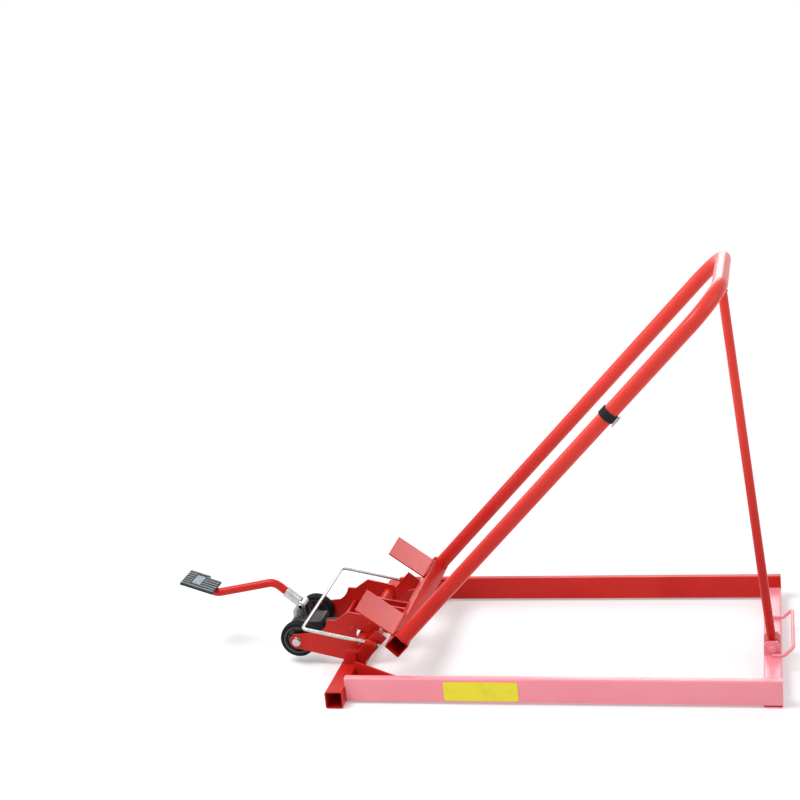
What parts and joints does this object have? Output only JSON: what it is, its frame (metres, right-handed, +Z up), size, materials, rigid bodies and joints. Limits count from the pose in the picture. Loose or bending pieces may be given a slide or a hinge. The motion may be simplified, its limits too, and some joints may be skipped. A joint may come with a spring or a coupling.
{
  "type": "lawn mower lift",
  "caption": "Red tube lift on a flat ground frame: a hinged bow held up by a prop strut, with wheel stops, a foot-pumped hydraulic jack, transport wheels and a carry handle.",
  "frame": {"origin": "middle of the underside of the whole part, on the ground", "axes": "+X from the pedal to the carry handle, +Y across to the far rail, +Z up; the lifting frame is stored raised on its strut"},
  "size_m": [1.803, 0.806, 1.115],
  "materials": {
    "red_paint": "glossy red paint",
    "faded_paint": "sun-faded red paint",
    "zinc": "bright zinc plate",
    "chrome": "polished chrome",
    "cast_black": "black paint on cast iron",
    "wheel_plastic": "black moulded plastic",
    "tyre_rubber": "solid rubber",
    "pad_rubber": "ribbed grey rubber",
    "webbing": "woven strap",
    "label_yellow": "plain printed film"
  },
  "bodies": {
    "base": {"hinge_end_cross_tube": "red_paint", "near_rail": "faded_paint", "far_rail": "red_paint", "near_corner_brace": "red_paint", "far_corner_brace": "red_paint", "handle_end_cross_tube": "faded_paint", "carry_handle": "faded_paint", "near_clevis_plate": "faded_paint", "far_clevis_plate": "faded_paint", "strut_hinge_bolt": "faded_paint", "strut_hinge_nut": "faded_paint", "near_side_plate": "red_paint", "far_side_plate": "red_paint", "near_wheel_bolt": "zinc", "near_wheel_nut": "zinc", "far_wheel_bolt": "zinc", "far_wheel_nut": "zinc", "chassis_tie_rod": "red_paint", "lift_shaft": "red_paint", "near_support_post": "red_paint", "far_support_post": "red_paint", "near_post_foot": "red_paint", "far_post_foot": "red_paint", "near_guide_bush": "red_paint", "far_guide_bush": "red_paint", "hydraulic_body": "cast_black", "jack_bulkhead": "red_paint", "near_pedal_bracket": "zinc", "far_pedal_bracket": "zinc", "pedal_pin": "zinc", "label_plate": "label_yellow"},
    "lifting_frame": {"lifting_frame_tube": "red_paint", "lifting_frame_cross_tube": "red_paint", "near_wheel_stop": "red_paint", "far_wheel_stop": "red_paint", "tie_strap": "webbing", "strap_buckle": "zinc", "lever_hub": "red_paint", "near_lever": "red_paint", "far_lever": "red_paint", "roller_pin": "zinc"},
    "prop_strut": {"strut_foot_sleeve": "red_paint", "strut_tube": "red_paint", "strut_saddle": "red_paint"},
    "roller": {"lever_roller": "zinc"},
    "ram": {"ram": "chrome"},
    "pedal": {"pedal_socket": "zinc", "pedal_arm": "red_paint", "pedal_pad": "pad_rubber"},
    "pump": {"pump_plunger": "chrome"},
    "near_wheel": {"near_wheel_hub": "wheel_plastic", "near_wheel_tyre": "tyre_rubber"},
    "far_wheel": {"far_wheel_hub": "wheel_plastic", "far_wheel_tyre": "tyre_rubber"},
    "bail": {"sliding_bail": "zinc", "near_bail_clip": "cast_black", "far_bail_clip": "cast_black"}
  },
  "joints": [
    {"name": "frame_lift", "type": "hinge", "parent": "base", "child": "lifting_frame", "pos_m": [-0.29841, 0, 0.125], "axis": [0, 1, 0], "range_deg": [0, 45.3]},
    {"name": "strut_fold", "type": "hinge", "parent": "base", "child": "prop_strut", "pos_m": [0.83959, -0.094, 0.058], "axis": [0, -1, 0], "range_deg": [0, 81.6]},
    {"name": "ram_stroke", "type": "slide", "parent": "base", "child": "ram", "axis": [-1, 0, 0], "range_m": [0, 0.046]},
    {"name": "roller_spin", "type": "hinge", "parent": "lifting_frame", "child": "roller", "pos_m": [-0.27622, 0, 0.07141], "axis": [0, 1, 0], "continuous": true},
    {"name": "pedal_press", "type": "hinge", "parent": "base", "child": "pedal", "pos_m": [-0.53641, 0, 0.142], "axis": [0, -1, 0], "range_deg": [0, 20], "stiffness_Nm_per_rad": 5, "springref_deg": -40.11},
    {"name": "pump_stroke", "type": "slide", "parent": "base", "child": "pump", "axis": [0, 0, -1], "range_m": [0, 0.006]},
    {"name": "near_wheel_spin", "type": "hinge", "parent": "base", "child": "near_wheel", "pos_m": [-0.52641, -0.1016, 0.075], "axis": [0, 1, 0], "continuous": true},
    {"name": "far_wheel_spin", "type": "hinge", "parent": "base", "child": "far_wheel", "pos_m": [-0.52641, 0.1016, 0.075], "axis": [0, 1, 0], "continuous": true},
    {"name": "bail_slide", "type": "slide", "parent": "base", "child": "bail", "axis": [0.9753, 0, -0.2211], "range_m": [0, 0.02]}
  ],
  "couplings": [
    {"joint": "strut_fold", "follows": "frame_lift", "ratio": 1.7991},
    {"joint": "ram_stroke", "follows": "frame_lift", "m_per_rad": 0.0565},
    {"joint": "pump_stroke", "follows": "pedal_press", "m_per_rad": 0.0171}
  ]
}
